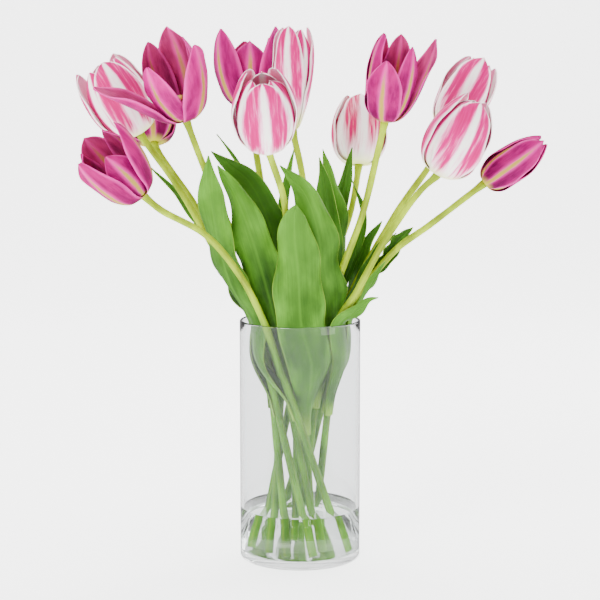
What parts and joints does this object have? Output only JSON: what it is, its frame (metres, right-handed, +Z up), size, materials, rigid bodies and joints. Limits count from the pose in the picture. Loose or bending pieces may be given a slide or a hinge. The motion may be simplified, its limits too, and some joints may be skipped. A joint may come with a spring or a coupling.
{
  "type": "tulips in a vase",
  "caption": "Cut tulips, plum and pink-striped, with their leaves, standing in a clear glass cylinder vase with a little water.",
  "frame": {"origin": "centre of the vase's underside, on the table", "axes": "+Z up along the vase's axis, -Y towards the front of the bunch, +X to its right"},
  "size_m": [0.456, 0.287, 0.5302],
  "materials": {
    "glass": "clear, fire-polished rim",
    "water": null,
    "stems": "smooth satin, yellow-green above the rim and mid green in the vase",
    "leaves": "smooth, slightly waxy, with fine long veins",
    "plum_petals": "silky, with a yellow-green midrib",
    "striped_petals": "silky, cream with pink streaks along the veins"
  },
  "bodies": {
    "root": {"vase": "glass", "water": "water", "stem_01": "stems", "outer_petals_01": "plum_petals", "inner_petals_01": "plum_petals", "stem_02": "stems", "outer_petals_02": "striped_petals", "inner_petals_02": "striped_petals", "stem_03": "stems", "outer_petals_03": "plum_petals", "inner_petals_03": "plum_petals", "stem_04": "stems", "outer_petals_04": "plum_petals", "inner_petals_04": "plum_petals", "stem_05": "stems", "outer_petals_05": "plum_petals", "inner_petals_05": "plum_petals", "stem_06": "stems", "outer_petals_06": "striped_petals", "inner_petals_06": "striped_petals", "stem_07": "stems", "outer_petals_07": "striped_petals", "inner_petals_07": "striped_petals", "stem_08": "stems", "outer_petals_08": "striped_petals", "inner_petals_08": "striped_petals", "stem_09": "stems", "outer_petals_09": "plum_petals", "inner_petals_09": "plum_petals", "stem_10": "stems", "outer_petals_10": "striped_petals", "inner_petals_10": "striped_petals", "stem_11": "stems", "outer_petals_11": "striped_petals", "inner_petals_11": "striped_petals", "stem_12": "stems", "outer_petals_12": "plum_petals", "inner_petals_12": "plum_petals", "leaf_01": "leaves", "leaf_02": "leaves", "leaf_03": "leaves", "leaf_04": "leaves", "leaf_05": "leaves", "leaf_06": "leaves", "leaf_07": "leaves", "leaf_08": "leaves", "leaf_09": "leaves", "leaf_10": "leaves", "leaf_11": "leaves", "leaf_12": "leaves", "leaf_13": "leaves", "leaf_14": "leaves", "leaf_15": "leaves", "leaf_16": "leaves", "leaf_17": "leaves", "leaf_18": "leaves"}
  },
  "joints": []
}
